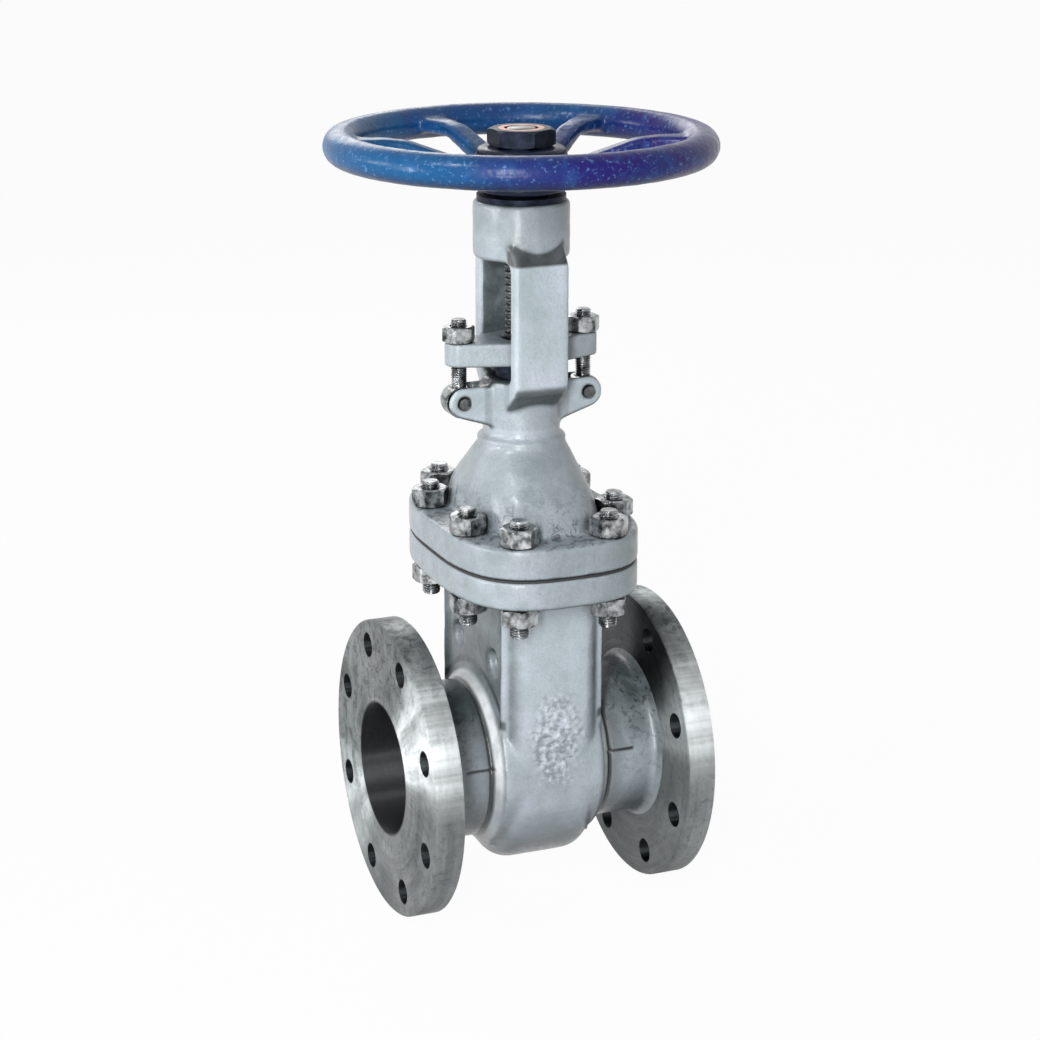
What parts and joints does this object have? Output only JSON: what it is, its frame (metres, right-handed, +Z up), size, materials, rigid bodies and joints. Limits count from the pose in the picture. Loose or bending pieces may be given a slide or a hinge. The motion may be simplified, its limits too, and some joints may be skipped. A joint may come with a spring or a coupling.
{
  "type": "gate valve",
  "caption": "Flanged cast steel wedge gate valve with a rising stem, an open yoke and a handwheel, closed.",
  "frame": {"origin": "centre of the inlet flange's face, on the pipe axis", "axes": "+X along the pipe from the inlet face towards the outlet face, +Z up the stem towards the handwheel, +Y across the pipe"},
  "size_m": [0.29, 0.29, 0.599],
  "materials": {
    "casting": "silver-grey painted steel casting",
    "trim_steel": "machined stainless steel",
    "bright_steel": "bright plated steel",
    "dark_steel": "blackened steel",
    "bronze": "turned bronze",
    "graphite": "dull black graphite",
    "blue_paint": "blue painted ductile iron"
  },
  "bodies": {
    "valve": {"body": "casting", "seat_ring_inlet": "trim_steel", "seat_ring_outlet": "trim_steel", "bonnet": "casting", "bonnet_gasket": "graphite", "stem_packing": "graphite", "gland_follower": "trim_steel", "gland_flange": "casting", "eyebolt_inlet": "bright_steel", "eyebolt_outlet": "bright_steel", "eyebolt_pin_inlet": "bright_steel", "eyebolt_pin_outlet": "bright_steel", "gland_nut_inlet": "bright_steel", "gland_nut_outlet": "bright_steel", "bonnet_stud_1": "bright_steel", "bonnet_stud_2": "bright_steel", "bonnet_stud_3": "bright_steel", "bonnet_stud_4": "bright_steel", "bonnet_stud_5": "bright_steel", "bonnet_stud_6": "bright_steel", "bonnet_stud_7": "bright_steel", "bonnet_stud_8": "bright_steel", "sleeve_retainer": "dark_steel"},
    "handwheel": {"handwheel": "blue_paint", "handwheel_nut": "dark_steel", "yoke_sleeve": "bronze"},
    "stem": {"stem": "trim_steel", "wedge": "trim_steel"}
  },
  "joints": [
    {"name": "handwheel_turn", "type": "hinge", "parent": "valve", "child": "handwheel", "pos_m": [0.1145, 0, 0.472], "axis": [0, 0, 1], "range_deg": [0, 7776]},
    {"name": "stem_lift", "type": "slide", "parent": "valve", "child": "stem", "axis": [0, 0, 1], "range_m": [0, 0.1081]}
  ],
  "couplings": [
    {"joint": "stem_lift", "follows": "handwheel_turn", "m_per_rad": 0.00079577}
  ]
}
